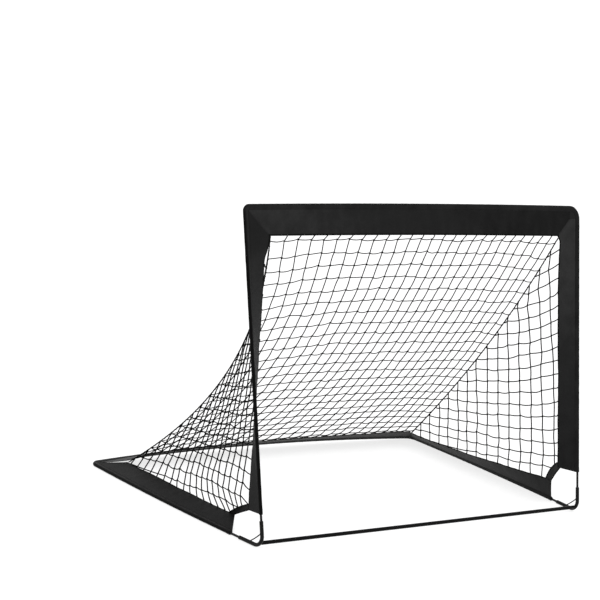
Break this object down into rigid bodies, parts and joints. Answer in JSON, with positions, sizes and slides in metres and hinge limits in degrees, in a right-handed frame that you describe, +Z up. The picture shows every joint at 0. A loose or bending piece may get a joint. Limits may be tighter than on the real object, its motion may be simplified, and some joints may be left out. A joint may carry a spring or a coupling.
{
  "type": "pop-up soccer goal",
  "caption": "Folding practice soccer goal: sprung rod loop in sewn fabric sleeves, open front corners on bent elbows, straight ground bar and a black net",
  "frame": {"origin": "middle of the footprint on the ground, halfway across and halfway between the front of the elbows and the back of the rear sleeve", "axes": "+X right as seen from in front of the goal, +Y towards the back of the goal, +Z up"},
  "size_m": [1.2859, 0.8211, 0.8996],
  "materials": {
    "rod": "dark glass-fibre rod, satin",
    "elbow": "satin black bent tube",
    "wire": "dark steel wire",
    "bar": "satin black coated tube",
    "band": "black coated woven polyester, sewn double",
    "strap": "black webbing",
    "net": "black knotted twine"
  },
  "bodies": {
    "ground_frame": {"side_rod_left": "rod", "side_rod_right": "rod", "rear_rod": "rod", "rear_corner_tube_left": "elbow", "rear_corner_tube_right": "elbow", "front_elbow_left": "elbow", "front_elbow_right": "elbow", "restraint_wire_left": "wire", "restraint_wire_right": "wire", "front_bar": "bar", "bar_plug_left": "bar", "bar_plug_right": "bar", "side_sleeve_left": "band", "side_sleeve_right": "band", "rear_sleeve": "band", "rear_corner_patch_left": "band", "rear_corner_patch_right": "band", "corner_strap_left": "strap", "corner_strap_right": "strap", "net_back_panel": "net", "net_side_panel_left": "net", "net_side_panel_right": "net", "net_seam_cord_left": "net", "net_seam_cord_right": "net"},
    "mouth_frame": {"crossbar_rod": "rod", "post_rod_left": "rod", "post_rod_right": "rod", "top_corner_tube_left": "elbow", "top_corner_tube_right": "elbow", "crossbar_sleeve": "band", "post_sleeve_left": "band", "post_sleeve_right": "band", "top_corner_patch_left": "band", "top_corner_patch_right": "band"}
  },
  "joints": [
    {"name": "mouth_fold", "type": "hinge", "parent": "ground_frame", "child": "mouth_frame", "pos_m": [0, -0.38035, 0.03025], "axis": [-1, 0, 0], "range_deg": [0, 70], "stiffness_Nm_per_rad": 1, "springref_deg": -51.57, "deforming": ["front_elbow_left", "front_elbow_right", "restraint_wire_left", "restraint_wire_right", "corner_strap_left", "corner_strap_right", "net_back_panel", "net_side_panel_left", "net_side_panel_right", "net_seam_cord_left", "net_seam_cord_right", "post_sleeve_left", "post_sleeve_right", "side_sleeve_left", "side_sleeve_right"]}
  ]
}
